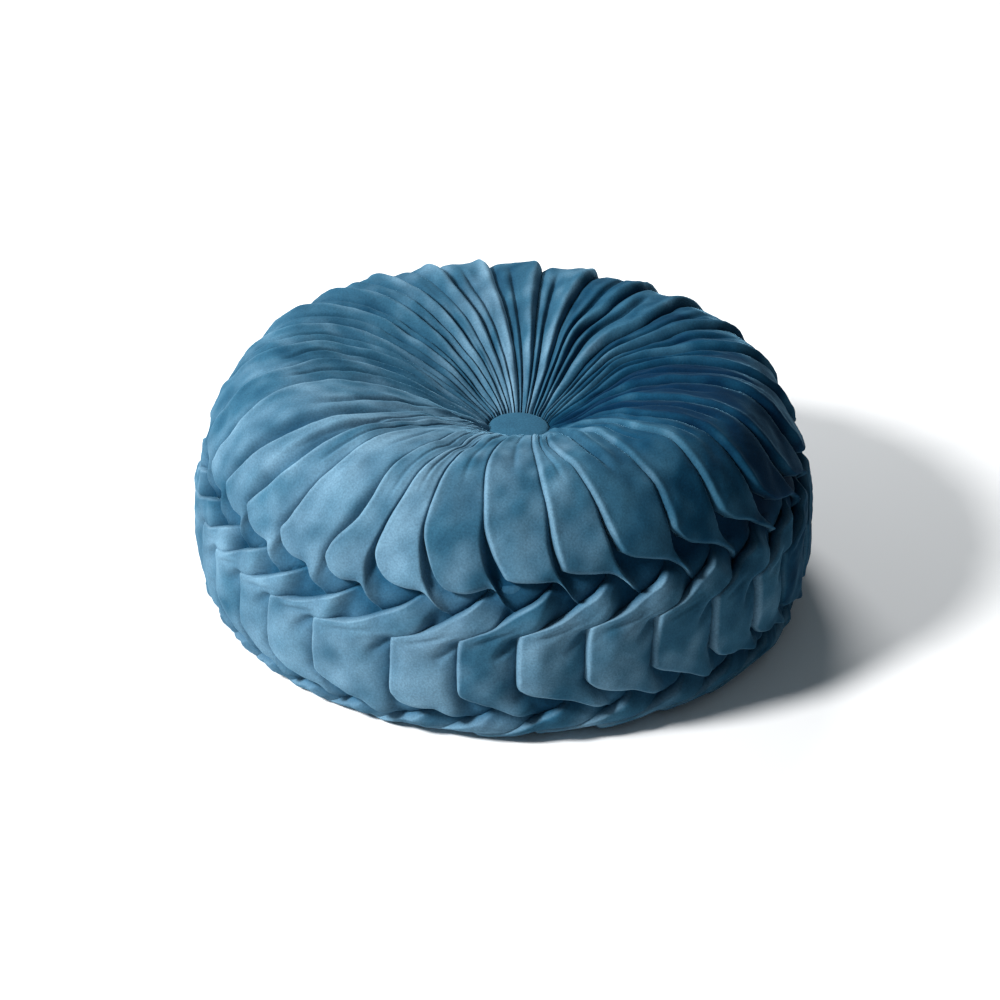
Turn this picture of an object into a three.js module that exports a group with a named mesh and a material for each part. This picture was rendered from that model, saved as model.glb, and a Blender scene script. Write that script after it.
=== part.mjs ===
// A tufted round cushion: a velvet cover gathered in knife pleats at a covered button on
// each face, smocked into an interlaced lattice round its side, and stuffed full.
// Millimetres, +Z up. The origin is the middle of the face that the cushion rests on.
import * as THREE from "three";

// Overall form, measured on the crests of the pleats and puffs. Heights are from the level at
// which the cushion is widest, and a half's power is the roundness of its side as a
// superellipse, 2 being an ellipse.
const DIAMETER = 380;
const REST_DROP = 52; // the underside is pressed flat this far down
const UPPER_HALF = { rise: 101, radius: 128, power: 2.05, tuftDrop: 45, dimplePower: 1.75 };
const LOWER_HALF = { rise: 56, radius: 95, power: 5.6, tuftDrop: 26, dimplePower: 2.4 };
const TUFT_RADIUS = 19.5; // where the pleats are drawn in round the button
const TUFT_SHIFT = { x: 8, y: -4 }; // the button was sewn a little off the middle
const SHIFT_FADES_BY = 120; // radius at which that shift has died out

// Folds. A unit is one repeat of the smocking, and one pleat on each face.
const UNITS = 30;
const UNIT_ANGLE = (2 * Math.PI) / UNITS;
const FIRST_FOLD_ANGLE = 0; // from the front, -Y
const TUFT_PLEAT_DEPTH = 2.2;
const CROWN_PLEAT_DEPTH = 7.5;
const SIDE_FOLD_DEPTH = 9;
const DEPTH_GROWS_OVER = 110; // radius by which a pleat has its crown depth
const SIDE_DEPTH_FROM = 140; // radius at which a crown pleat starts to deepen into a side fold
const SIDE_DEPTH_BY = 180;

// Buttons and the seat that each is drawn down onto.
const BUTTON_RADIUS = 18;
const BUTTON_RIM = 3;
const BUTTON_HEIGHT = 8;
const BUTTON_SIDES = 48;
const SEAT_RADIUS = 17.2;
const TOP_SEAT_BELOW_TUFT = 7; // the crown's pleats crowd up round their button
const UNDER_SEAT_BELOW_TUFT = 3;
const CLEARANCE = 0.3;

const VELVET = { color: 0x3f6f8a, roughness: 0.85, metalness: 0 };

// Where a section across a pleat is taken, as shares of its width from its own fold, with the
// height there as a share of the pleat's depth. The fold stands up sharply and the far side
// sinks under the next pleat.
const ACROSS = [
  { share: 0, height: 0 },
  { share: 0.08, height: 0.82 },
  { share: 0.28, height: 1 },
  { share: 0.5, height: 0.98 },
  { share: 0.72, height: 0.84 },
  { share: 0.92, height: 0.42 },
];

// The same section on a row where a band from the other row of smocking comes out from under
// the pleat, half way across it.
const ACROSS_INTERLACED = [0, 0.75, 0.6, 0.05, 0.85, 0.35];

// Rows down the side. along is the distance up the surface from the mid plane, in mm, shift is
// how far the fold has moved round the cushion, in units, and full is the share of the depth.
const SIDE_ROWS = [
  { name: "pleat ends", along: 58, shift: 0, full: 1 },
  { name: "flap", along: 55, shift: 0.38, full: 0.95 },
  { name: "upper bend", along: 48.5, shift: 0.7, full: 0.8 },
  { name: "upper interlace", along: 41, shift: 0.93, full: 0.72, interlaced: true },
  { name: "upper point", along: 33, shift: 1.15, full: 0.75 },
  { name: "band", along: 26, shift: 0.7, full: 0.9 },
  { name: "puff top", along: 20, shift: 0.3, full: 1 },
  { name: "puff middle", along: 2, shift: 0.25, full: 1 },
  { name: "puff end", along: -16, shift: 0.25, full: 1 },
  { name: "lower flap", along: -22, shift: 0.62, full: 0.95 },
  { name: "lower bend", along: -29, shift: 1, full: 0.8 },
  { name: "lower interlace", along: -34.5, shift: 1.3, full: 0.72, interlaced: true },
  { name: "lower point", along: -40, shift: 1.6, full: 0.75 },
  { name: "lower band", along: -47, shift: 1.05, full: 0.9 },
  { name: "lower pleats start", along: -55, shift: 0.5, full: 1 },
];

// Rings across each face, from the tuft outwards on the crown and inwards on the underside.
const TOP_RADII = [TUFT_RADIUS, 34, 62, 94, 128, 148, 164];
const UNDER_RADII = [170, 152, 128, 102, 76, 54, 34, TUFT_RADIUS];

// How unevenly a maker pulls the stitches: the smocking wanders up and down round the side.
const SWAY = [
  { waves: 3, size: 5, phase: 20 },
  { waves: 7, size: 0.8, phase: 40 },
];
const SWAY_FROM = 100; // radius at which that wandering starts
const SWAY_BY = 170;
const FOLD_WANDER = [
  { waves: 3, size: 0.06, phase: 25 },
  { waves: 7, size: 0.07, phase: 70 },
  { waves: 11, size: 0.05, phase: 5 },
];

// A sum of waves round the cushion.
function waves(table, angle) {
  return table.reduce(
    (sum, w) => sum + w.size * Math.sin(w.waves * angle + THREE.MathUtils.degToRad(w.phase)),
    0,
  );
}

// The crest line of one half of the section, from the widest level over the face to the tuft.
function crestLine({ rise, radius, power, tuftDrop, dimplePower }) {
  const reach = DIAMETER / 2 - radius;
  const steps = 160;
  const points = [];
  for (let i = 0; i <= steps; i++) {
    const a = ((Math.PI / 2) * i) / steps;
    const x = radius + reach * Math.cos(a) ** (2 / power);
    points.push(new THREE.Vector2(x, rise * Math.sin(a) ** (2 / power)));
  }
  for (let i = 1; i <= steps; i++) {
    const share = i / steps;
    const x = radius - (radius - TUFT_RADIUS) * share;
    points.push(new THREE.Vector2(x, rise - tuftDrop * share ** dimplePower));
  }
  const lengths = [0];
  for (let i = 1; i < points.length; i++) {
    lengths.push(lengths[i - 1] + points[i].distanceTo(points[i - 1]));
  }
  return { points, lengths };
}

const UPPER_CREST = crestLine(UPPER_HALF);
const LOWER_CREST = crestLine(LOWER_HALF);

// The crest at a distance along the surface from the widest level, and its outward normal.
function crestAt(along) {
  const side = along < 0 ? -1 : 1;
  const { points, lengths } = along < 0 ? LOWER_CREST : UPPER_CREST;
  const target = Math.min(Math.abs(along), lengths.at(-1) - 1e-6);
  const i = Math.max(1, lengths.findIndex((length) => length > target));
  const span = lengths[i] - lengths[i - 1];
  const point = points[i - 1].clone().lerp(points[i], (target - lengths[i - 1]) / span);
  const way = points[i].clone().sub(points[i - 1]).normalize();
  return { r: point.x, z: side * point.y, outR: way.y, outZ: -side * way.x };
}

// The distance along a half's surface at which its face has a given radius.
function alongAtRadius({ points, lengths }, radius) {
  return lengths[points.findIndex((p) => p.x <= radius)];
}

function foldDepth(radius, along) {
  const onSide = THREE.MathUtils.smoothstep(radius, SIDE_DEPTH_FROM, SIDE_DEPTH_BY);
  const grown = THREE.MathUtils.smoothstep(radius, 0, DEPTH_GROWS_OVER);
  const onFace = TUFT_PLEAT_DEPTH + (CROWN_PLEAT_DEPTH - TUFT_PLEAT_DEPTH) * grown;
  return onFace + (SIDE_FOLD_DEPTH - onFace) * onSide;
}

// One ring of points round the cushion, from a row of the tables above.
function ring({ along, shift, full, interlaced }) {
  const points = [];
  for (let unit = 0; unit < UNITS; unit++) {
    for (const [i, { share, height }] of ACROSS.entries()) {
      const nominal = FIRST_FOLD_ANGLE + (unit + share + shift) * UNIT_ANGLE;
      const angle = nominal + waves(FOLD_WANDER, nominal) * UNIT_ANGLE;
      const nearSide = THREE.MathUtils.smoothstep(crestAt(along).r, SWAY_FROM, SWAY_BY);
      const crest = crestAt(along + waves(SWAY, angle) * nearSide);
      const raised = full * (interlaced ? ACROSS_INTERLACED[i] : height);
      const sunk = foldDepth(crest.r, along) * (1 - raised);
      const r = crest.r - crest.outR * sunk;
      const z = Math.max(crest.z - crest.outZ * sunk, -REST_DROP);
      const drawn = 1 - THREE.MathUtils.smoothstep(r, TUFT_RADIUS, SHIFT_FADES_BY);
      points.push(
        new THREE.Vector3(
          r * Math.sin(angle) + TUFT_SHIFT.x * drawn,
          -r * Math.cos(angle) + TUFT_SHIFT.y * drawn,
          z + REST_DROP,
        ),
      );
    }
  }
  return points;
}

// The flat seat under a button, as a ring of the same number of points.
function seatRing(z, shift) {
  const count = UNITS * ACROSS.length;
  return Array.from({ length: count }, (_, i) => {
    const { share } = ACROSS[i % ACROSS.length];
    const unit = Math.floor(i / ACROSS.length);
    const nominal = FIRST_FOLD_ANGLE + (unit + share + shift) * UNIT_ANGLE;
    const angle = nominal + waves(FOLD_WANDER, nominal) * UNIT_ANGLE;
    return new THREE.Vector3(
      TUFT_SHIFT.x + SEAT_RADIUS * Math.sin(angle),
      TUFT_SHIFT.y - SEAT_RADIUS * Math.cos(angle),
      z,
    );
  });
}

// A closed solid from rings of points, joined row to row and capped at both ends.
function solidFromRings(rings, topCentre, underCentre) {
  const count = rings[0].length;
  const positions = [...rings.flat(), topCentre, underCentre].flatMap((p) => p.toArray());
  const top = rings.length * count;
  const faces = [];
  for (let i = 0; i < count; i++) {
    const next = (i + 1) % count;
    faces.push(top, i, next);
    for (let row = 0; row + 1 < rings.length; row++) {
      const upper = row * count;
      const lower = upper + count;
      faces.push(upper + i, lower + i, lower + next, upper + i, lower + next, upper + next);
    }
    const last = (rings.length - 1) * count;
    faces.push(top + 1, last + next, last + i);
  }
  const geometry = new THREE.BufferGeometry();
  geometry.setAttribute("position", new THREE.Float32BufferAttribute(positions, 3));
  geometry.setIndex(faces);
  geometry.computeVertexNormals();
  return geometry;
}

const TOP_SEAT = REST_DROP + UPPER_HALF.rise - UPPER_HALF.tuftDrop - TOP_SEAT_BELOW_TUFT;
const UNDER_SEAT = REST_DROP - LOWER_HALF.rise + LOWER_HALF.tuftDrop + UNDER_SEAT_BELOW_TUFT;

// The filled cushion: crown, smocked side and underside as one closed surface.
function cushionBody() {
  const underShift = SIDE_ROWS.at(-1).shift;
  const crown = TOP_RADII.map((r) => ({
    along: alongAtRadius(UPPER_CREST, r),
    shift: 0,
    full: 1,
  }));
  const under = UNDER_RADII.map((r) => ({
    along: -alongAtRadius(LOWER_CREST, r),
    shift: underShift,
    full: 1,
  }));
  const rings = [
    seatRing(TOP_SEAT, 0),
    ...[...crown, ...SIDE_ROWS, ...under].map(ring),
    seatRing(UNDER_SEAT, underShift),
  ];
  return solidFromRings(
    rings,
    new THREE.Vector3(TUFT_SHIFT.x, TUFT_SHIFT.y, TOP_SEAT),
    new THREE.Vector3(TUFT_SHIFT.x, TUFT_SHIFT.y, UNDER_SEAT),
  );
}

// A covered button: a domed disc with a rounded rim, its flat back at z = 0.
function coveredButton() {
  const rimSteps = 4;
  const domeSteps = 5;
  const profile = [new THREE.Vector2(0, 0)];
  for (let i = 0; i <= rimSteps; i++) {
    const a = -Math.PI / 2 + ((Math.PI / 2) * i) / rimSteps;
    profile.push(
      new THREE.Vector2(
        BUTTON_RADIUS - BUTTON_RIM + BUTTON_RIM * Math.cos(a),
        BUTTON_RIM + BUTTON_RIM * Math.sin(a),
      ),
    );
  }
  for (let i = 1; i <= domeSteps; i++) {
    const a = ((Math.PI / 2) * i) / domeSteps;
    profile.push(
      new THREE.Vector2(
        i === domeSteps ? 0 : BUTTON_RADIUS * Math.cos(a),
        BUTTON_RIM + (BUTTON_HEIGHT - BUTTON_RIM) * Math.sin(a),
      ),
    );
  }
  return new THREE.LatheGeometry(profile, BUTTON_SIDES).rotateX(Math.PI / 2);
}

function velvetMesh(name, geometry) {
  const mesh = new THREE.Mesh(geometry, new THREE.MeshStandardMaterial(VELVET));
  mesh.name = name;
  return mesh;
}

const cushion = new THREE.Group();
cushion.add(velvetMesh("cushion_body", cushionBody()));

const topButton = velvetMesh("button_top", coveredButton());
topButton.position.set(TUFT_SHIFT.x, TUFT_SHIFT.y, TOP_SEAT + CLEARANCE);
cushion.add(topButton);

const underButton = velvetMesh("button_under", coveredButton());
underButton.rotation.x = Math.PI;
underButton.position.set(TUFT_SHIFT.x, TUFT_SHIFT.y, UNDER_SEAT - CLEARANCE);
cushion.add(underButton);

export default cushion;
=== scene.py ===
"""A tufted round cushion in teal velvet, pleated from a covered button on each face and smocked
into an interlaced lattice round its side.

The cover is made as it is sewn, of three rings of thirty laps: crown pleats, square side puffs
and underside pleats. A place on the cover is given by u, the turns round it in laps counted from
the front, and w, the distance up the cover from its widest level in mm. Each lap is a patch
between its own fold and the fold of the next, which lies over it. Points are sunk by some mm
below the line that the crests of the folds follow.
"""

import math

import bpy
import numpy as np
from mathutils import Matrix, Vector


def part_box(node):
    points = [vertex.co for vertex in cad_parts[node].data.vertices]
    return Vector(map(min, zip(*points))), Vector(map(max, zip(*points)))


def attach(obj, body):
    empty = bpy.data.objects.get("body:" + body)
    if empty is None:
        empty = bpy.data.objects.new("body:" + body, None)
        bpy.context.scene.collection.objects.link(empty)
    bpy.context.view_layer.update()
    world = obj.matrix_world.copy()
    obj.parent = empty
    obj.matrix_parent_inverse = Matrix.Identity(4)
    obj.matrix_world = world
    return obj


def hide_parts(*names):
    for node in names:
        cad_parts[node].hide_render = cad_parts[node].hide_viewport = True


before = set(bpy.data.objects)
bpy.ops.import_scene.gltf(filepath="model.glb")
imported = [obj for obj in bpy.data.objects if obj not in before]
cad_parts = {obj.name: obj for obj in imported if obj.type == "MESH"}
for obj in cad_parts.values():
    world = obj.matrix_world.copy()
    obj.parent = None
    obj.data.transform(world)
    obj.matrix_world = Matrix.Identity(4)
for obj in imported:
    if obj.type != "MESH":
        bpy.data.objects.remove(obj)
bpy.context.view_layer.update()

MM = 0.001
RNG = np.random.default_rng(41)

# Sizes in mm, on the crests of the folds, as in the solids. Heights of the cover are from the
# level at which the cushion is widest. A half's power is the roundness of its side.
body_low, body_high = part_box("cushion_body")
RADIUS = (body_high[0] - body_low[0]) / 2 / MM
REST_DROP = 52
CROWN_RISE = (body_high[2] - body_low[2]) / MM - REST_DROP
UPPER_HALF = {"rise": CROWN_RISE, "radius": 128, "power": 2.05, "tuft_drop": 45, "dimple": 1.75}
LOWER_HALF = {"rise": 56, "radius": 95, "power": 5.6, "tuft_drop": 26, "dimple": 2.4}
LINE_STEPS = 161
TUFT_RADIUS = 18.4
TUFT_SHIFT = (8, -4)
SHIFT_FADES_BY = 120
FLOOR_BEND = 1.0
FLOOR_PRESS = 0.12

LAPS = 30
LAP_ANGLE = 2 * math.pi / LAPS
LAP_NUMBERS = np.arange(LAPS)
FOLD_DEPTH_AT_TUFT = 2.2
FOLD_DEPTH_ON_CROWN = 7.0
FOLD_DEPTH_ON_SIDE = 9
CROWN_DEPTH_BY = 110
SIDE_DEPTH_FROM = 140
SIDE_DEPTH_BY = 180
ROLL_RADIUS = 4.5
HEM_DROP = 4.0
TAIL_DROP = 6

# Mesh steps across and down a lap. Beside a fold or hem they are finer, at these shares.
CROWN_STEPS = (40, 74)
SIDE_STEPS = (42, 60)
UNDER_STEPS = (32, 56)
FINE_SHARES = np.array([0, 0.003, 0.008, 0.016, 0.027, 0.041, 0.058, 0.08])

# Heights up the cover of the points where the smocking is stitched and folds meet.
PLEAT_END_W = 57
UPPER_BEND_W = 48
UPPER_CROSS_W = 32
PUFF_TOP_W = 19
PUFF_END_W = -16
LOWER_BEND_W = -29
LOWER_CROSS_W = -40
UNDER_TOP_W = -54

# Places of those points round the cushion, in laps from the lap's own number.
PLEAT_END_U = 0.0
UPPER_CROSS_U = 0.15
PUFF_U = 0.25
UPPER_BEND_U = 0.7
LOWER_CROSS_U = 0.6
LOWER_BEND_U = 1.0
UNDER_U = 0.5

# How the smocking wanders up and down round the side: waves, mm, and degrees at the front.
SWAY = [(1, 3.3, 0), (3, 5.2, 20), (7, 0.8, 40)]
SWAY_FROM = 100
SWAY_BY = 170

# How far the stitches that show stray from even spacing, in laps, and the pleat's end in mm up.
STRAYS = [
    # lap, pleat_end, bend, cross, puff, end_up
    (-8, 0.11, 0.05, 0.03, 0.00, 2),
    (-7, 0.08, 0.03, 0.00, 0.04, -2),
    (-6, 0.06, 0.04, 0.03, 0.00, 3),
    (-5, 0.04, 0.02, -0.03, -0.04, 4),
    (-4, 0.13, 0.00, 0.00, -0.12, 5),
    (-3, 0.20, 0.06, 0.02, -0.15, 2),
    (-2, 0.13, 0.09, 0.02, 0.14, 2),
    (-1, 0.03, 0.09, 0.12, 0.14, -1),
    (0, 0.04, 0.06, 0.03, -0.01, -4),
    (1, -0.10, -0.07, 0.00, -0.01, -3),
    (2, -0.16, -0.04, -0.01, 0.04, 3),
    (3, -0.10, -0.12, -0.06, 0.10, 4),
    (4, -0.06, -0.15, -0.10, 0.05, 4),
]

# The gathers at the left are drawn forward, most of all behind the leftmost point.
DRAWN_LAP = -9.5
DRAWN_REACH = 7
DRAWN_FORWARD = 1.0

# How far each crown fold runs to the right of its lap's own line, in laps, at four radii in mm
# and at one height on the side.
FOLD_RADII = {"shoulder": 165, "crest": 140, "inner": 105, "hub": 65}
FLAP_W = 70
FOLD_COLUMNS = {"flap": 1, "shoulder": 2, "crest": 3, "inner": 4, "hub": 5}
CROWN_FOLDS = [
    # lap, flap, shoulder, crest, inner, hub
    (-14, 0.45, 0.60, 0.60, 0.40, 0.10),
    (-13, 0.65, 0.80, 0.75, 0.40, 0.10),
    (-12, 0.80, 1.00, 0.90, 0.40, 0.10),
    (-11, 0.95, 1.15, 1.00, 0.45, 0.10),
    (-10, 1.05, 1.25, 1.10, 0.45, 0.10),
    (-9, 1.05, 1.28, 1.15, 0.50, 0.05),
    (-8, 1.06, 1.25, 1.20, 0.55, 0.00),
    (-7, 0.94, 1.05, 1.05, 0.75, 0.35),
    (-6, 0.75, 1.02, 1.55, 1.90, 1.60),
    (-5, 0.50, 0.85, 1.25, 1.65, 1.60),
    (-4, 0.38, 0.54, 0.90, 1.20, 1.35),
    (-3, 0.32, 0.64, 0.85, 1.25, 1.20),
    (-2, 0.02, 0.12, 0.42, 0.80, 0.75),
    (-1, -0.14, -0.27, -0.15, 0.10, 0.25),
    (0, -0.18, -0.32, -0.38, -0.25, 0.00),
    (1, -0.22, -0.28, -0.36, -0.33, -0.20),
    (2, -0.28, -0.42, -0.66, -0.90, -0.60),
    (3, -0.26, -0.26, -0.42, -0.40, -0.30),
    (4, -0.29, -0.32, -0.32, -0.50, -0.25),
    (5, -0.30, -0.40, -0.45, -0.60, -0.20),
    (6, -0.30, -0.45, -0.55, -0.50, 0.00),
    (7, -0.30, -0.45, -0.55, -0.35, 0.25),
    (8, -0.30, -0.50, -0.65, -0.25, 0.45),
    (9, -0.30, -0.50, -0.70, -0.55, 0.30),
    (10, -0.25, -0.40, -0.55, -0.60, 0.15),
    (11, -0.15, -0.20, -0.35, -0.55, 0.00),
    (12, -0.05, -0.05, -0.20, -0.15, 0.35),
    (13, 0.05, 0.15, 0.00, 0.05, 0.10),
    (14, 0.15, 0.40, 0.25, 0.15, 0.10),
    (15, 0.30, 0.55, 0.45, 0.30, 0.10),
]

# How far along a boundary or a hem, from 0 to 1, it passes each of its points.
CROWN_TIMES = (0, 0.22, 0.42, 0.6, 0.77, 0.89, 1)
PUFF_TIMES = (0, 0.1, 0.3, 0.42, 0.52, 0.74, 1)
UNDER_TIMES = (0, 0.09, 0.2, 0.28, 0.36, 0.5, 1)
HEM_TIMES = (0, 0.1, 0.24, 0.35, 0.64, 0.74, 1)
HEM_PULLS_FROM = 0.7

# How far a lap's hidden right side runs on under the next lap, in laps, and how much further
# than the next fold its face goes before it has sunk all the way.
TUCKED_UNDER_NEXT = 0.34
FACE_RUNS_ON = 1.12

# Soft random waves: the unevenness of the filling in mm, and blotches of the pile.
LUMPS = [
    # size, waves, length in mm, seed
    (0.8, 9, 60, 3),
    (0.35, 12, 22, 4),
    (0.12, 14, 9, 5),
]
BLOTCHES = [
    # size, waves, length in mm, seed
    (0.6, 10, 45, 14),
    (0.4, 12, 16, 15),
]
SECOND_FOLD_SEED = 6
CROWN_HEM_SEED = 8
PUFF_HEM_SEED = 9
LAP_NAP_SEED = 12

BUTTON_SPREAD = 1.07
BUTTON_RINGS = 26
BUTTON_POINTS = 96
BUTTON_GATHERS = 17

# The photograph's view, and what lights it. Places are in metres.
CAMERA_ELEVATION = 30
CAMERA_ROLL = 1.3
CAMERA_AWAY = 8 * RADIUS * MM
CAMERA_LENS = 88.06
CAMERA_SHIFT = (-0.0038, 0.0022)
LIT_MIDDLE = (0, 0, 0.08)
LIGHTS = [
    # name, place, size, power
    ("key", (-1.6, -0.8, 1.5), 0.5, 96),
    ("top", (-0.3, 1.3, 1.3), 0.8, 26),
]


def smooth(low, high, x):
    t = np.clip((x - low) / (high - low), 0, 1)
    return t * t * (3 - 2 * t)


def bell(x, middle, width):
    """A smooth bump of height 1."""
    return np.exp(-(((x - middle) / width) ** 2))


def for_laps(values):
    """Values of the laps, laid out to meet an array of lap, step down and step across."""
    return values[:, None, None]


def by_lap(values):
    """Values for laps 0 to 29, carried on past the last lap by going round again."""
    return np.concatenate([values, values[:2] + LAPS])


# What by_lap gives for each lap, for the next one and for the one after that.
HERE = slice(0, LAPS)
NEXT = slice(1, LAPS + 1)
SECOND = slice(2, LAPS + 2)


def strays(column, spread):
    """How far each lap's stitch strays: as in the table where it shows, at random elsewhere."""
    values = RNG.normal(0, spread, LAPS)
    for row in STRAYS:
        values[row[0] % LAPS] = row[column]
    return values


def fold_line(column):
    """Where every crown fold runs at one place of the table, in laps round the cushion."""
    values = np.zeros(LAPS)
    for row in CROWN_FOLDS:
        values[row[0] % LAPS] = row[column]
    return by_lap(LAP_NUMBERS + values)


def drawn_forward(lap):
    """How far the gathers are drawn forward from even spacing, in laps."""
    off = (lap - DRAWN_LAP + LAPS / 2) % LAPS - LAPS / 2
    near = np.clip(np.abs(off) / DRAWN_REACH, 0, 1)
    return DRAWN_FORWARD * np.cos(near * math.pi / 2) ** 2


places = LAP_NUMBERS + drawn_forward(LAP_NUMBERS)
PLEAT_END = by_lap(places + PLEAT_END_U + strays(1, 0.06))
UPPER_BEND = by_lap(places + UPPER_BEND_U + strays(2, 0.05))
UPPER_CROSS = by_lap(places + UPPER_CROSS_U + strays(3, 0.05))
PUFF = by_lap(places + PUFF_U + strays(4, 0.05))
LOWER_CROSS = by_lap(places + LOWER_CROSS_U + RNG.normal(0, 0.05, LAPS))
LOWER_BEND = by_lap(places + LOWER_BEND_U + RNG.normal(0, 0.05, LAPS))
UNDER = by_lap(places + UNDER_U + RNG.normal(0, 0.05, LAPS))
END_UP = strays(5, 2)
END_UP = np.concatenate([END_UP, END_UP[:2]])
FOLD_LINES = {name: fold_line(column) for name, column in FOLD_COLUMNS.items()}

# Dimples where hidden stitches hold the smocking, with their depth in mm.
DIMPLE_RADIUS = 6.5
DIMPLES = [
    (UPPER_CROSS, UPPER_CROSS_W, 2.0),
    (UPPER_BEND, UPPER_BEND_W, 2.0),
    (LOWER_CROSS, LOWER_CROSS_W, 1.6),
    (LOWER_BEND, LOWER_BEND_W, 1.6),
]

# Pleats lie flat at the front and stand up as round ribs at the left and the back.
FLATNESS = 0.5 + 0.45 * np.cos(LAP_NUMBERS * LAP_ANGLE + 0.25)


def crest_line(half):
    """One half of the section through the crests, from the widest level to the tuft."""
    a = np.linspace(0, math.pi / 2, LINE_STEPS)
    share = np.linspace(0, 1, LINE_STEPS)[1:]
    radius, power = half["radius"], half["power"]
    side_r = radius + (RADIUS - radius) * np.maximum(np.cos(a), 0) ** (2 / power)
    side_z = half["rise"] * np.sin(a) ** (2 / power)
    face_r = radius - (radius - TUFT_RADIUS) * share
    face_z = half["rise"] - half["tuft_drop"] * share ** half["dimple"]
    r = np.concatenate([side_r, face_r])
    z = np.concatenate([side_z, face_z])
    length = np.concatenate([[0], np.cumsum(np.hypot(np.diff(r), np.diff(z)))])
    line = {"w": length, "r": r, "z": z}
    line["out_r"] = np.gradient(z, length)
    line["out_z"] = -np.gradient(r, length)
    return line


UPPER_CREST = crest_line(UPPER_HALF)
LOWER_CREST = crest_line(LOWER_HALF)


def on_crest(what, w):
    """A value of the crest line at a distance up the cover, or down it where w is negative."""
    upper = np.interp(w, UPPER_CREST["w"], UPPER_CREST[what])
    lower = np.interp(-w, LOWER_CREST["w"], LOWER_CREST[what])
    sign = -1 if what in ("z", "out_z") else 1
    return np.where(w < 0, sign * lower, upper)


def w_at_radius(line, radius):
    return np.interp(-radius, -line["r"], line["w"])


def lap_width(w):
    """Width of one lap in mm."""
    return on_crest("r", w) * LAP_ANGLE


def fold_depth(w):
    radius = on_crest("r", w)
    grown = smooth(0, CROWN_DEPTH_BY, radius)
    on_face = FOLD_DEPTH_AT_TUFT + (FOLD_DEPTH_ON_CROWN - FOLD_DEPTH_AT_TUFT) * grown
    on_side = smooth(SIDE_DEPTH_FROM, SIDE_DEPTH_BY, radius)
    return on_face + (FOLD_DEPTH_ON_SIDE - on_face) * on_side


def ripple(count, u, w, length, seed):
    """Soft random waves over the cover, about 1 high at their tallest, `length` mm apart."""
    rng = np.random.default_rng(seed)
    total = np.zeros(np.broadcast(u, w).shape)
    round_mm = RADIUS * 2 * math.pi
    for _ in range(count):
        way = rng.uniform(0, math.pi)
        wave = 2 * math.pi / (length * rng.uniform(0.7, 1.5))
        turns = round(math.cos(way) * wave * round_mm / (2 * math.pi))
        phase = turns * u * LAP_ANGLE + math.sin(way) * wave * w
        total += np.sin(phase + rng.uniform(0, 6.28))
    return total / math.sqrt(count)


def ripples(table, u, w):
    """All the waves of a table together."""
    return sum(size * ripple(waves, u, w, length, seed) for size, waves, length, seed in table)


def on_cushion(u, w, sunk):
    """The place in metres of points sunk below the crests, and above the floor."""
    angle = u * LAP_ANGLE
    sway = sum(size * np.sin(waves * angle + math.radians(at)) for waves, size, at in SWAY)
    w = w + sway * smooth(SWAY_FROM, SWAY_BY, on_crest("r", w))
    r = on_crest("r", w) - on_crest("out_r", w) * sunk
    over_floor = on_crest("z", w) - on_crest("out_z", w) * sunk + REST_DROP
    rounded = 0.5 * (over_floor + np.sqrt(over_floor**2 + FLOOR_BEND))
    z = np.maximum(rounded - FLOOR_PRESS, 0)
    drawn = 1 - smooth(TUFT_RADIUS, SHIFT_FADES_BY, r)
    x = r * np.sin(angle) + TUFT_SHIFT[0] * drawn
    y = -r * np.cos(angle) + TUFT_SHIFT[1] * drawn
    return np.stack([x, y, z], axis=-1) * MM


def path(points, t_of_points, t):
    """Smooth curves through the points of every lap. points is a list of (u for each lap, w)."""
    us = np.array([np.broadcast_to(p[0], LAPS) for p in points])
    ws = np.array([np.broadcast_to(p[1], LAPS) for p in points])
    return np.stack([hermite(t_of_points, us, t), hermite(t_of_points, ws, t)], axis=-1)


def hermite(knots, values, t):
    """Values for each lap along a curve through its knots that doesn't overshoot them."""
    knots = np.array(knots, float)
    step = np.diff(knots)
    rise = np.diff(values, axis=0) / step[:, None]
    slope = np.zeros_like(values, dtype=float)
    slope[0] = rise[0]
    slope[-1] = rise[-1]
    same_way = rise[:-1] * rise[1:] > 0
    mean = 2 * rise[:-1] * rise[1:] / np.where(same_way, rise[:-1] + rise[1:], 1)
    slope[1:-1] = np.where(same_way, mean, 0)
    i = np.clip(np.searchsorted(knots, t, side="right") - 1, 0, len(step) - 1)
    x = ((t - knots[i]) / step[i])[:, None]
    h = step[i][:, None]
    curve = (
        values[i] * (1 + 2 * x) * (1 - x) ** 2
        + slope[i] * h * x * (1 - x) ** 2
        + values[i + 1] * x**2 * (3 - 2 * x)
        + slope[i + 1] * h * x**2 * (x - 1)
    )
    return curve.T


def shares(count, near_start=False, near_end=False):
    """Rising shares from 0 to 1, with finer steps beside an end where the cloth rolls over."""
    low = FINE_SHARES if near_start else np.array([0])
    high = 1 - FINE_SHARES[::-1] if near_end else np.array([1])
    middle = np.linspace(low[-1], high[0], count - len(low) - len(high) + 2)[1:-1]
    return np.concatenate([low, middle, high])


def lay_patch(left, right, s, t, hem=None):
    """u and w over every lap, between its left and right boundaries, and down to its hem."""
    across = s[None, None, :, None]
    grid = left[:, :, None] * (1 - across) + right[:, :, None] * across
    if hem is not None:
        pull = smooth(HEM_PULLS_FROM, 1, t)[None, :, None, None]
        grid = grid + (hem - grid[:, -1])[:, None] * pull
    return grid[..., 0], grid[..., 1]


def share_to_next(left, right, s):
    """How far each point is on its way from its lap's own fold to past the next one, up to 1."""
    next_left = np.concatenate([left[1:], left[:1] + np.array([LAPS, 0])])
    visible = (next_left[..., 0] - left[..., 0]) / (right[..., 0] - left[..., 0])
    return np.minimum(s[None, None, :] / (FACE_RUNS_ON * visible[:, :, None]), 1)


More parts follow.
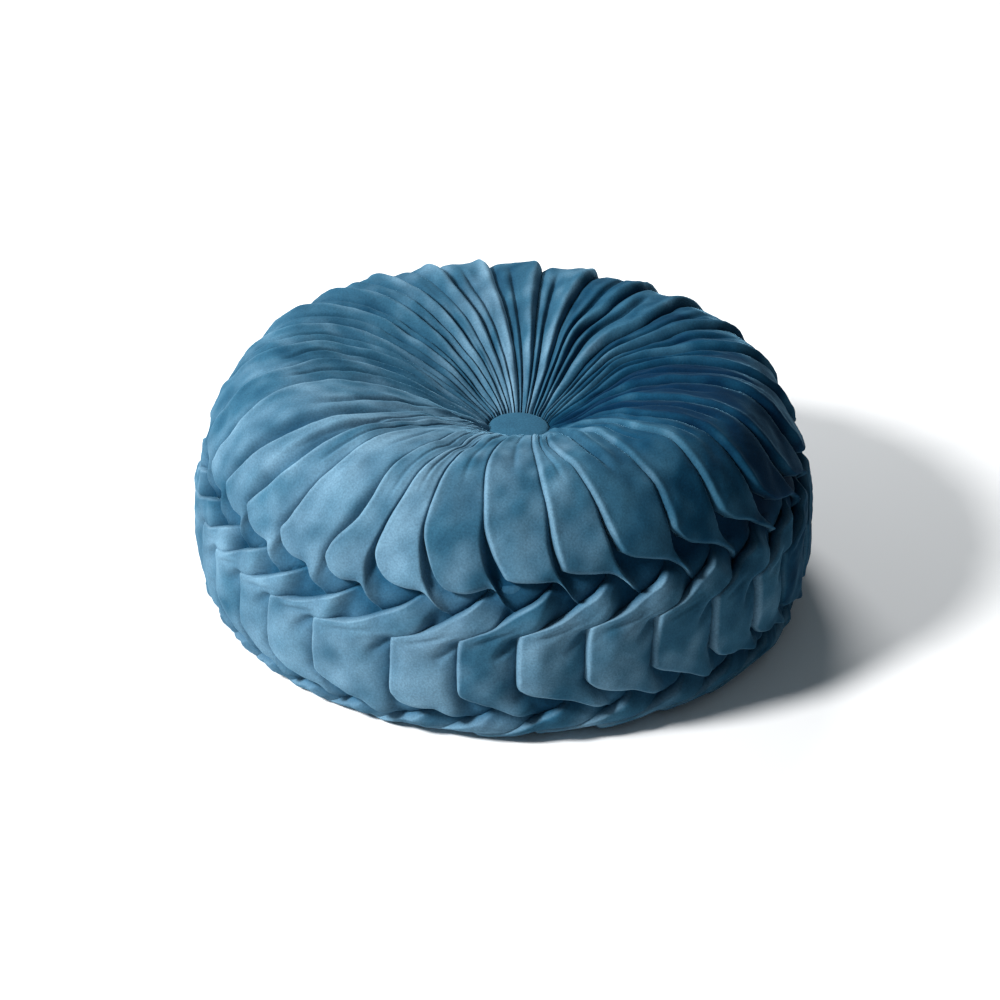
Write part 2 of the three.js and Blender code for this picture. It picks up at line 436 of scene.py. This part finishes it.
def distances(u, w):
    """Distance in mm of every point from the patch's left boundary and from its lower one."""
    width = lap_width(w)
    across = np.hypot(np.diff(u, axis=2) * width[:, :, 1:], np.diff(w, axis=2))
    down = np.hypot(np.diff(u, axis=1) * width[:, 1:], np.diff(w, axis=1))
    up_from_low = np.cumsum(down[:, ::-1], axis=1)[:, ::-1]
    from_left = np.concatenate([np.zeros_like(u[:, :, :1]), np.cumsum(across, axis=2)], axis=2)
    from_low = np.concatenate([up_from_low, np.zeros_like(u[:, :1])], axis=1)
    return from_left, from_low


def rolled(distance, radius, depth):
    """How far a rounded edge has dropped, at a distance in from its outermost line."""
    inside = 1 - np.clip(distance / radius, 0, 1)
    return depth * (1 - np.sqrt(np.maximum(1 - inside**2, 0)))


def stitched(u, w):
    """The small dimples where hidden stitches hold the smocking."""
    dip = np.zeros_like(u)
    for knots, height, size in DIMPLES:
        for turn in range(LAPS):
            off = (u - knots[turn] + LAPS / 2) % LAPS - LAPS / 2
            near = np.hypot(off * lap_width(w), w - height)
            dip += size * bell(near, 0, DIMPLE_RADIUS)
    return dip


def from_line(u, w, start, end):
    """Each point's place beside a line over its lap: share along it, and mm off to its left."""
    mm_round = RADIUS * LAP_ANGLE
    start_u, start_w = (np.reshape(part, (-1, 1, 1)) for part in start)
    end_u, end_w = (np.reshape(part, (-1, 1, 1)) for part in end)
    x = (u - start_u) * mm_round
    y = w - start_w
    way_x = (end_u - start_u) * mm_round
    way_y = end_w - start_w
    length = np.hypot(way_x, way_y)
    return (x * way_x + y * way_y) / length**2, (y * way_x - x * way_y) / length


def crease(u, w, start, end, width, depth):
    """A soft trough along a line over each lap, deepest in its middle."""
    along, left = from_line(u, w, start, end)
    fade = smooth(-0.15, 0.3, along) * (1 - smooth(0.55, 1.15, along))
    return depth * fade * bell(left, 0, width)


def lap_face(share, flat):
    """How a lap sinks from its crest to where the next covers it. A flat lap sinks late."""
    rounded = 0.25 * smooth(0.2, 0.6, share) + 0.75 * smooth(0.72, 1, share)
    level = 0.1 * smooth(0.3, 0.8, share) + 0.9 * smooth(0.87, 1, share)
    return rounded * (1 - flat) + level * flat


def painted_edge_highlight(from_fold, from_hem, wide=1):
    """How strong the painted sheen highlight is along a fold and a hem, from 0 to 1."""
    fold = bell(from_fold / wide, 1.2, 1.5)
    hem = bell(from_hem, 0.8, 1.2)
    return np.maximum(fold, hem)


def either(*shares_down):
    """Two or more sinkings that overlap, as one."""
    up = 1
    for down in shares_down:
        up = up * (1 - down)
    return 1 - up


def stitch_row(end, end_w, bend, bend_w, cross, cross_w):
    """A row of smocking: where folds end, where flaps bend down, and where they cross."""
    level = np.ones(LAPS + 2)
    return {
        "end": (end, end_w * level),
        "bend": (bend, bend_w * level),
        "cross": (cross, cross_w * level),
    }


UPPER_ROW = stitch_row(
    PLEAT_END, PLEAT_END_W + END_UP, UPPER_BEND, UPPER_BEND_W, UPPER_CROSS, UPPER_CROSS_W
)
LOWER_ROW = stitch_row(PUFF, PUFF_END_W, LOWER_BEND, LOWER_BEND_W, LOWER_CROSS, LOWER_CROSS_W)


def stitches(row, name, which):
    """The (u, w) of one kind of stitch in a row, for each lap or for those after it."""
    return [part[which] for part in row[name]]


def under_next(u, w, row):
    """How far down a lap's flap goes under the next lap's hem and the band that crosses it."""
    end, bend, cross = (stitches(row, name, NEXT) for name in ("end", "bend", "cross"))
    along, above_hem = from_line(u, w, end, bend)
    under_hem = smooth(-4.5, 1, above_hem) * smooth(-0.2, 0.15, along)
    above_band = from_line(u, w, cross, bend)[1]
    return either(0.9 * under_hem, 0.72 * (1 - smooth(0, 15, above_band)))


def hidden_tail(u, w, row):
    """How many mm further down the tail of a flap lies, past the edge of the band over it."""
    cross, bend = (stitches(row, name, NEXT) for name in ("cross", "bend"))
    return TAIL_DROP * (1 - smooth(-7, 1, from_line(u, w, cross, bend)[1]))


def under_flap(u, w, row):
    """How far down a lap's drawn-up corner goes under the flap that crosses it."""
    bend = stitches(row, "bend", NEXT)
    cross = stitches(row, "cross", SECOND)
    return smooth(-15, 1, from_line(u, w, bend, cross)[1])


def rolled_hem(from_hem, share):
    """How far a flap's hem is rolled in, along the part of it that shows."""
    return rolled(from_hem, ROLL_RADIUS, HEM_DROP) * (1 - smooth(0.6, 0.7, share))


def hem_path(row, sag, s):
    """The hem of a lap's flap: level from where its fold ends, then down over the crossing."""
    (end, end_w), (bend, bend_w) = (stitches(row, name, HERE) for name in ("end", "bend"))
    cross, cross_w = stitches(row, "cross", NEXT)
    next_bend, next_bend_w = stitches(row, "bend", NEXT)
    return path(
        [
            (end, end_w),
            (end * 0.75 + bend * 0.25, end_w * 0.6 + bend_w * 0.4 - sag),
            (end * 0.35 + bend * 0.65, end_w * 0.3 + bend_w * 0.7 - sag),
            (bend + 0.03, bend_w),
            (cross, cross_w),
            (cross + 0.15, cross_w - 4),
            (next_bend + TUCKED_UNDER_NEXT, next_bend_w - 8),
        ],
        HEM_TIMES, s,
    )  # fmt: skip


def second_fold(share, w, width):
    """The lesser fold that the gathers throw up inside a lap, from the tuft part way out."""
    rng = np.random.default_rng(SECOND_FOLD_SEED)
    place = for_laps(rng.uniform(0.42, 0.58, LAPS))
    reach = for_laps(rng.uniform(88, 128, LAPS))
    size = for_laps(rng.uniform(0.5, 1, LAPS) * (1 - 0.7 * FLATNESS))
    size = size + for_laps(smooth(1.1, 1.7, width))
    off = share - place
    groove = bell(off, 0, 0.05) - 0.45 * bell(off, 0.13, 0.09)
    return 3.0 * np.minimum(size, 1.2) * groove * smooth(reach, reach + 22, w)


def crown_lines(t):
    """The left and right boundaries of the crown's laps, from the tuft down to the hem."""
    tuft = w_at_radius(UPPER_CREST, TUFT_RADIUS)
    w = {name: w_at_radius(UPPER_CREST, radius) for name, radius in FOLD_RADII.items()}
    own = {name: line[HERE] for name, line in FOLD_LINES.items()}
    nxt = {name: line[NEXT] for name, line in FOLD_LINES.items()}
    left = [
        (LAP_NUMBERS, tuft),
        (own["hub"], w["hub"]),
        (own["inner"], w["inner"]),
        (own["crest"], w["crest"]),
        (own["shoulder"], w["shoulder"]),
        (own["flap"], FLAP_W),
        stitches(UPPER_ROW, "end", HERE),
    ]
    right = [
        (LAP_NUMBERS + 1.05, tuft),
        (nxt["hub"] + 0.09, w["hub"]),
        (nxt["inner"] + 0.1, w["inner"]),
        (nxt["crest"] + 0.12, w["crest"]),
        (nxt["shoulder"] + 0.4, w["shoulder"]),
        (nxt["flap"] + 0.75, FLAP_W - 4),
        (UPPER_BEND[NEXT] + TUCKED_UNDER_NEXT, UPPER_BEND_W - 8),
    ]
    return path(left, CROWN_TIMES, t), path(right, CROWN_TIMES, t)


def crown_patch():
    """Crown pleats: from the tuft out over the crown, each ending in a flap laid to the right."""
    s = shares(CROWN_STEPS[0], near_start=True)
    t = shares(CROWN_STEPS[1], near_end=True)
    left, right = crown_lines(t)
    left_front = np.cos((LAP_NUMBERS + 3) * LAP_ANGLE / 2) ** 12
    sag = 3.5 * left_front + np.random.default_rng(CROWN_HEM_SEED).normal(0, 0.8, LAPS)
    u, w = lay_patch(left, right, s, t, hem_path(UPPER_ROW, sag, s))
    x, y = distances(u, w)
    radius = on_crest("r", w)
    flat = for_laps(FLATNESS)
    deep = fold_depth(w) * (1 - 0.15 * flat)
    roll = np.minimum(ROLL_RADIUS * (1.2 - 0.6 * flat), 0.2 * np.maximum(x[:, :, -1:], 1))
    across = share_to_next(left, right, s)
    inner = FOLD_LINES["inner"]
    face = lap_face(across, flat) * smooth(0, 26, y)
    sunk = rolled(x, roll, 0.75 * deep) + deep * either(face, under_next(u, w, UPPER_ROW))
    sunk = sunk + rolled_hem(y, s[None, None, :])
    sunk = sunk + hidden_tail(u, w, UPPER_ROW) + second_fold(across, w, inner[NEXT] - inner[HERE])
    sunk = sunk + 1.2 * (1 - smooth(TUFT_RADIUS, TUFT_RADIUS + 2, radius))
    ridge = bell(x, 0.9 * roll, 0.7 * roll) * smooth(6, 20, y)
    sunk = sunk - 1.9 * (1 - 0.85 * flat) * ridge * smooth(30, 90, radius)
    # The last value is the painted sheen highlight along the folds and the hem.
    return u, w, sunk, roll[..., 0], deep[:, :, 0], painted_edge_highlight(x, y, 2.6 - 1.6 * flat)


def puff_lines(t):
    """The left and right boundaries of the side's laps, from under the crown's flaps down."""
    own, nxt = PUFF[HERE], PUFF[NEXT]
    cross, cross_nxt = UPPER_CROSS[NEXT], UPPER_CROSS[SECOND]
    bend = UPPER_BEND[NEXT]
    left = [
        (bend + 0.03, UPPER_BEND_W + 12),
        (bend, UPPER_BEND_W),
        (cross, UPPER_CROSS_W),
        (own * 0.5 + cross * 0.5, 24),
        (own, PUFF_TOP_W),
        (own - 0.02, 1),
        (own, PUFF_END_W),
    ]
    right = [
        (bend + 0.45, UPPER_BEND_W + 12),
        (bend + 0.62, UPPER_BEND_W - 3),
        (cross_nxt + 0.2, UPPER_CROSS_W),
        (nxt * 0.5 + cross_nxt * 0.5 + 0.22, 21),
        (nxt + 0.25, PUFF_TOP_W - 5),
        (nxt + 0.5, -3),
        (LOWER_BEND[NEXT] + TUCKED_UNDER_NEXT, LOWER_BEND_W - 8),
    ]
    return path(left, PUFF_TIMES, t), path(right, PUFF_TIMES, t)


def puff_creases(u, w):
    """The creases that a drawn-up puff has below its right corner and along its top."""
    own, nxt = PUFF[HERE], PUFF[NEXT]
    cross = UPPER_CROSS[NEXT]
    corner = (nxt + 0.02, PUFF_TOP_W + 1), (nxt - 0.34, PUFF_TOP_W - 14)
    top = (own + 0.2, PUFF_TOP_W - 3), (cross + 0.12, UPPER_CROSS_W - 8)
    return crease(u, w, *corner, 3.0, 3.0), crease(u, w, *top, 2.2, 1.6)


def puff_patch():
    """Side puffs: a square pillow whose top is drawn up to the right, between two pleat flaps."""
    s = shares(SIDE_STEPS[0], near_start=True)
    t = shares(SIDE_STEPS[1], near_end=True)
    left, right = puff_lines(t)
    sag = np.random.default_rng(PUFF_HEM_SEED).normal(0.8, 1.2, LAPS)
    u, w = lay_patch(left, right, s, t, hem_path(LOWER_ROW, sag, s))
    x, y = distances(u, w)
    deep = np.full_like(w, FOLD_DEPTH_ON_SIDE * 0.85)
    roll = np.full(w.shape[:2] + (1,), 0.75 * ROLL_RADIUS)
    in_band = smooth(PUFF_TOP_W - 2, UPPER_CROSS_W - 2, w)
    across = share_to_next(left, right, s)
    face = lap_face(across, 0.45) * smooth(0, 22, y) * (1 - 0.75 * in_band)
    up_under = 0.85 * under_flap(u, w, UPPER_ROW) * in_band
    sunk = rolled(x, roll, 6.0) + deep * either(face, up_under, under_next(u, w, LOWER_ROW))
    sunk = sunk + rolled_hem(y, s[None, None, :])
    sunk = sunk + hidden_tail(u, w, LOWER_ROW)
    sunk = sunk + 5 * smooth(UPPER_BEND_W - 2, UPPER_BEND_W + 8, w)
    pillow = smooth(0, 0.35, across) * (1 - smooth(0.5, 0.85, across)) * smooth(2, 18, y)
    sunk = sunk - 1.6 * pillow * (1 - in_band)
    for trough in puff_creases(u, w):
        sunk = sunk + trough
    # The last value is the painted sheen highlight along the folds and the hem.
    return u, w, sunk, roll[..., 0], deep[:, :, 0], painted_edge_highlight(x, y)


def under_lines(t):
    """The left and right boundaries of the underside's laps, from under the puffs to the tuft."""
    own, nxt = UNDER[HERE], UNDER[NEXT]
    cross, cross_nxt = LOWER_CROSS[NEXT], LOWER_CROSS[SECOND]
    bend = LOWER_BEND[NEXT]
    hub = -w_at_radius(LOWER_CREST, TUFT_RADIUS)
    left = [
        (bend + 0.03, LOWER_BEND_W + 11),
        (bend, LOWER_BEND_W),
        (cross, LOWER_CROSS_W),
        (own * 0.5 + cross * 0.5, -47.5),
        (own, UNDER_TOP_W),
        (own, -75),
        (LAP_NUMBERS + UNDER_U, hub),
    ]
    right = [
        (bend + 0.45, LOWER_BEND_W + 11),
        (bend + 0.62, LOWER_BEND_W - 3),
        (cross_nxt + 0.2, LOWER_CROSS_W),
        (nxt * 0.5 + cross_nxt * 0.5 + 0.22, -49),
        (nxt + 0.2, UNDER_TOP_W - 4),
        (nxt + 0.16, -77),
        (LAP_NUMBERS + 1 + UNDER_U + 0.05, hub),
    ]
    return path(left, UNDER_TIMES, t), path(right, UNDER_TIMES, t)


def under_patch():
    """Underside pleats: drawn up to the right at the smocking, and running in to the tuft."""
    s = shares(UNDER_STEPS[0], near_start=True)
    t = np.linspace(0, 1, UNDER_STEPS[1])
    left, right = under_lines(t)
    u, w = lay_patch(left, right, s, t)
    x, y = distances(u, w)
    deep = fold_depth(w)
    roll = np.minimum(ROLL_RADIUS, 0.16 * np.maximum(x[:, :, -1:], 1))
    in_band = smooth(UNDER_TOP_W - 2, LOWER_CROSS_W - 2, w)
    face = lap_face(s[None, None, :], 0.3) * (1 - 0.75 * in_band)
    up_under = 0.8 * under_flap(u, w, LOWER_ROW) * in_band
    sunk = rolled(x, roll, 0.7 * deep) + deep * either(face, up_under)
    sunk = sunk + 4 * smooth(LOWER_BEND_W - 2, LOWER_BEND_W + 8, w)
    no_hem = np.full_like(y, np.inf)
    # The last value is the painted sheen highlight along the folds.
    return u, w, sunk, roll[..., 0], deep[:, :, 0], painted_edge_highlight(x, no_hem)


def tuck_under(u, w, sunk, roll, deep):
    """Adds the cloth that turns under at each lap's own fold, so that the laps join in a ring."""
    width = lap_width(w[:, :, :1])
    columns = []
    for inward, drop in ((2.2, 0.62), (1.1, 0.34), (0.35, 0.12)):
        new_u = u[:, :, :1] + inward * roll[..., None] / width
        columns.append((new_u, w[:, :, :1], sunk[:, :, :1] + (drop * deep)[..., None]))
    u = np.concatenate([c[0] for c in columns] + [u], axis=2)
    w = np.concatenate([c[1] for c in columns] + [w], axis=2)
    sunk = np.concatenate([c[2] for c in columns] + [sunk], axis=2)
    return u, w, sunk


def turn_hem(u, w, sunk):
    """Adds the cloth folded in along a patch's lower hem."""
    rows = []
    for back, drop in ((0.8, 1.2), (3.0, 2.6), (7.0, 3.6)):
        rows.append((u[:, -1:], w[:, -1:] + back, sunk[:, -1:] + drop))
    u = np.concatenate([u] + [row[0] for row in rows], axis=1)
    w = np.concatenate([w] + [row[1] for row in rows], axis=1)
    sunk = np.concatenate([sunk] + [row[2] for row in rows], axis=1)
    return u, w, sunk


def pile_tone_and_painted_light(u, w, edge):
    """How pale the velvet is painted: palest at the front left and darkest at the right, as
    painted light and shade from the left, paler along fold edges and hems as a painted sheen
    highlight, with random pile tone by lap and in blotches.
    """
    angle = u * LAP_ANGLE
    twice = 2 * angle + math.radians(38)
    # Painted light and shade: paler towards the front left, darker towards the right.
    painted_side_light = 0.15 * np.cos(angle) - 0.64 * np.sin(angle) + 0.5 * np.cos(twice)
    each = for_laps(np.random.default_rng(LAP_NAP_SEED).normal(-0.1, 0.2, LAPS))
    on_side = smooth(PLEAT_END_W, UPPER_CROSS_W, w)
    # On the side the painted light and shade are weaker, and the whole is painted lighter.
    painted_side_light = painted_side_light * (1 - 0.35 * on_side) + 0.35 * on_side
    # Painted sheen highlight along fold edges and hems, stronger on the side.
    painted_sheen = (0.5 + 0.4 * on_side) * edge
    return painted_side_light + each + 0.35 * ripples(BLOTCHES, u, w) + painted_sheen


def grid_mesh(name, points):
    """A mesh of all laps' points, which run on from lap to lap and close in a ring."""
    rows = points.shape[1]
    grid = points.transpose(1, 0, 2, 3).reshape(rows, -1, 3)
    columns = grid.shape[1]
    index = np.arange(rows * columns).reshape(rows, columns)
    beside = np.roll(index, -1, axis=1)
    faces = np.stack([index[:-1], index[1:], beside[1:], beside[:-1]], axis=-1).reshape(-1, 4)
    mesh = bpy.data.meshes.new(name)
    mesh.from_pydata(grid.reshape(-1, 3).tolist(), [], faces.tolist())
    return mesh


def smooth_piece(name, mesh):
    mesh.shade_smooth()
    piece = bpy.data.objects.new(name, mesh)
    bpy.context.collection.objects.link(piece)
    return piece


def ring_piece(name, patch, hemmed):
    """One ring of laps: every lap's patch, joined to the next by the tucked cloth."""
    # edge is the painted sheen highlight along folds and hems.
    u, w, sunk, roll, deep, edge = patch
    sunk = sunk + stitched(u, w) - ripples(LUMPS, u, w)
    u, w, sunk = tuck_under(u, w, sunk, roll, deep)
    if hemmed:
        u, w, sunk = turn_hem(u, w, sunk)
    new_rows = sunk.shape[1] - edge.shape[1]
    new_columns = sunk.shape[2] - edge.shape[2]
    edge = np.pad(edge, [(0, 0), (0, new_rows), (new_columns, 0)])
    mesh = grid_mesh(name, on_cushion(u, w, sunk))
    # The second attribute holds painted light and shade, painted sheen highlights and random pile
    # tone.
    for attribute, values in (("sunk", sunk), ("painted_light_and_pile", pile_tone_and_painted_light(u, w, edge))):
        layer = mesh.attributes.new(attribute, "FLOAT", "POINT")
        values = values.transpose(1, 0, 2).reshape(-1).astype(np.float32)
        layer.data.foreach_set("value", values)
    return smooth_piece(name, mesh)


def button_points(radius, tall):
    """Rings of points over a domed button, gathered at its rim."""
    points = []
    for j in range(BUTTON_RINGS + 1):
        share = j / BUTTON_RINGS
        bulge = math.sin(share * math.pi / 2)
        drop = tall * (0.22 * share**2 + 0.78 * share**9)
        for i in range(BUTTON_POINTS):
            a = 2 * math.pi * i / BUTTON_POINTS
            gather = 1 + 0.012 * math.sin(BUTTON_GATHERS * a + 1) * smooth(0.55, 1, share)
            r = BUTTON_SPREAD * radius * bulge * gather
            points.append((r * math.cos(a), r * math.sin(a), tall - drop))
    return points


def covered_button(name, node, upward):
    """A button mould with velvet drawn over it and gathered in under its rim."""
    low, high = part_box(node)
    x_middle, y_middle = ((low[i] + high[i]) / 2 for i in range(2))
    points = button_points((high[0] - low[0]) / 2, high[2] - low[2])
    flip = 1 if upward else -1
    base = low[2] if upward else high[2]
    points = [(x_middle + x, y_middle + y * flip, base + z * flip) for x, y, z in points]
    faces = []
    for j in range(BUTTON_RINGS):
        inner = j * BUTTON_POINTS
        outer = inner + BUTTON_POINTS
        for i in range(BUTTON_POINTS):
            n = (i + 1) % BUTTON_POINTS
            faces.append((inner + i, outer + i, outer + n, inner + n))
    rim = BUTTON_RINGS * BUTTON_POINTS
    faces.append([rim + i for i in range(BUTTON_POINTS)][::-1])
    mesh = bpy.data.meshes.new(name)
    mesh.from_pydata(points, [], faces)
    for attribute in ("sunk", "painted_light_and_pile"):
        mesh.attributes.new(attribute, "FLOAT", "POINT")
    return smooth_piece(name, mesh)


def noise(tree, scale, detail, rough=0.5):
    where = tree.nodes.new("ShaderNodeTexCoord")
    node = tree.nodes.new("ShaderNodeTexNoise")
    node.inputs["Scale"].default_value = scale
    node.inputs["Detail"].default_value = detail
    node.inputs["Roughness"].default_value = rough
    tree.links.new(where.outputs["Object"], node.inputs["Vector"])
    return node.outputs["Fac"]


def ramp(tree, value, stops):
    """A colour for each value from 0 to 1. stops is a list of (value, red, green, blue)."""
    node = tree.nodes.new("ShaderNodeValToRGB")
    tree.links.new(value, node.inputs["Fac"])
    elements = node.color_ramp.elements
    for element, stop in ((elements[0], stops[0]), (elements[1], stops[-1])):
        element.position = stop[0]
        element.color = (*stop[1:], 1)
    for stop in stops[1:-1]:
        elements.new(stop[0]).color = (*stop[1:], 1)
    return node.outputs["Color"]


def multiply(tree, first, second):
    node = tree.nodes.new("ShaderNodeMix")
    node.data_type = "RGBA"
    node.blend_type = "MULTIPLY"
    node.inputs["Factor"].default_value = 1.0
    tree.links.new(first, node.inputs["A"])
    tree.links.new(second, node.inputs["B"])
    return node.outputs["Result"]


def attribute_share(tree, name, low, high):
    """How far an attribute of the mesh is on its way from low to high."""
    node = tree.nodes.new("ShaderNodeAttribute")
    node.attribute_name = name
    share = tree.nodes.new("ShaderNodeMapRange")
    share.inputs["From Min"].default_value = low
    share.inputs["From Max"].default_value = high
    tree.links.new(node.outputs["Fac"], share.inputs["Value"])
    return share.outputs["Result"]


def velvet_color(tree):
    """Teal from the attribute of painted light and shade and pile tone, with clouds and grain in
    it, and painted shade darkening it down in the folds.
    """
    # Dark navy where shade is painted, pale where light and sheen are painted, with random pile
    # tone between.
    painted_light_and_pile = ramp(
        tree,
        attribute_share(tree, "painted_light_and_pile", -1.2, 1.2),
        [
            (0.0, 0.001, 0.017, 0.044),
            (0.25, 0.0045, 0.04, 0.08),
            (0.55, 0.026, 0.09, 0.146),
            (1.0, 0.12, 0.225, 0.31),
        ],
    )
    clouds = ramp(tree, noise(tree, 30, 4, 0.6), [(0.3, 0.78, 0.8, 0.82), (0.7, 1.2, 1.18, 1.16)])
    grain = ramp(tree, noise(tree, 900, 2), [(0.3, 0.84, 0.84, 0.84), (0.7, 1.14, 1.14, 1.14)])
    sunk = attribute_share(tree, "sunk", 0.0, 8.5)
    # Painted shade: darker and bluer the deeper a point lies in a fold.
    shade = ramp(tree, sunk, [(0.0, 1, 1, 1), (1.0, 0.14, 0.36, 0.48)])
    color = painted_light_and_pile
    for layer in (clouds, grain, shade):
        color = multiply(tree, color, layer)
    return color


def velvet(name):
    """Short pile velvet: deep teal with painted shade in the folds, paler where light and sheen
    are painted on.
    """
    material = bpy.data.materials.new(name)
    material.use_nodes = True
    tree = material.node_tree
    shader = tree.nodes["Principled BSDF"]
    shader.inputs["Roughness"].default_value = 0.9
    shader.inputs["Specular IOR Level"].default_value = 0.04
    shader.inputs["Sheen Weight"].default_value = 0.2
    shader.inputs["Sheen Roughness"].default_value = 0.3
    shader.inputs["Sheen Tint"].default_value = (0.3, 0.68, 0.95, 1)
    tree.links.new(velvet_color(tree), shader.inputs["Base Color"])
    bump = tree.nodes.new("ShaderNodeBump")
    bump.inputs["Strength"].default_value = 0.25
    bump.inputs["Distance"].default_value = 0.0006
    tree.links.new(noise(tree, 700, 3), bump.inputs["Height"])
    tree.links.new(bump.outputs["Normal"], shader.inputs["Normal"])
    return material


def add_piece(piece, nodes, material):
    piece.data.materials.append(material)
    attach(piece, "root")
    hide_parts(*nodes)


def add_camera():
    """The photograph's view, framed as there."""
    elevation = math.radians(CAMERA_ELEVATION)
    data = bpy.data.cameras.new("camera")
    data.sensor_width = 36
    data.lens = CAMERA_LENS
    data.shift_x, data.shift_y = CAMERA_SHIFT
    camera = bpy.data.objects.new("camera", data)
    height = REST_DROP * MM + CAMERA_AWAY * math.sin(elevation)
    camera.location = (0, -CAMERA_AWAY * math.cos(elevation), height)
    tilt = Matrix.Rotation(math.pi / 2 - elevation, 3, "X")
    roll = Matrix.Rotation(math.radians(CAMERA_ROLL), 3, "Z")
    camera.rotation_euler = (tilt @ roll).to_euler()
    bpy.context.collection.objects.link(camera)
    bpy.context.scene.camera = camera


def area_light(name, place, size, power):
    """A round soft light that shines on the cushion's middle."""
    data = bpy.data.lights.new(name, "AREA")
    data.shape = "DISK"
    data.size = size
    data.energy = power
    light = bpy.data.objects.new(name, data)
    light.location = place
    way = [LIT_MIDDLE[i] - place[i] for i in range(3)]
    flat = math.hypot(way[0], way[1])
    light.rotation_euler = (math.atan2(flat, -way[2]), 0, math.atan2(way[0], -way[1]) + math.pi)
    bpy.context.collection.objects.link(light)


def add_floor():
    bpy.ops.mesh.primitive_plane_add(size=12, location=(0, 0, 0))
    floor = bpy.context.object
    floor.name = "floor"
    paper = bpy.data.materials.new("paper")
    paper.use_nodes = True
    shader = paper.node_tree.nodes["Principled BSDF"]
    shader.inputs["Base Color"].default_value = (0.86, 0.86, 0.86, 1)
    shader.inputs["Roughness"].default_value = 0.95
    floor.data.materials.append(paper)


def add_studio():
    """A pale floor, a soft light from the left, a weaker one from behind, and a weak fill."""
    add_floor()
    for light in LIGHTS:
        area_light(*light)
    world = bpy.data.worlds.new("studio")
    world.use_nodes = True
    background = world.node_tree.nodes["Background"]
    background.inputs["Color"].default_value = (0.75, 0.9, 1, 1)
    background.inputs["Strength"].default_value = 0.16
    bpy.context.scene.world = world
    bpy.context.scene.view_settings.view_transform = "Standard"


add_camera()
velvet_cover = velvet("teal_velvet")
for piece_name, patch, hemmed in (
    ("cover_crown", crown_patch(), True),
    ("cover_side", puff_patch(), True),
    ("cover_under", under_patch(), False),
):
    ring = ring_piece(piece_name, patch, hemmed)
    add_piece(ring, ["cushion_body"], velvet_cover)
for piece_name, node, upward in (
    ("button_top_covered", "button_top", True),
    ("button_under_covered", "button_under", False),
):
    button = covered_button(piece_name, node, upward)
    add_piece(button, [node], velvet_cover)
add_studio()
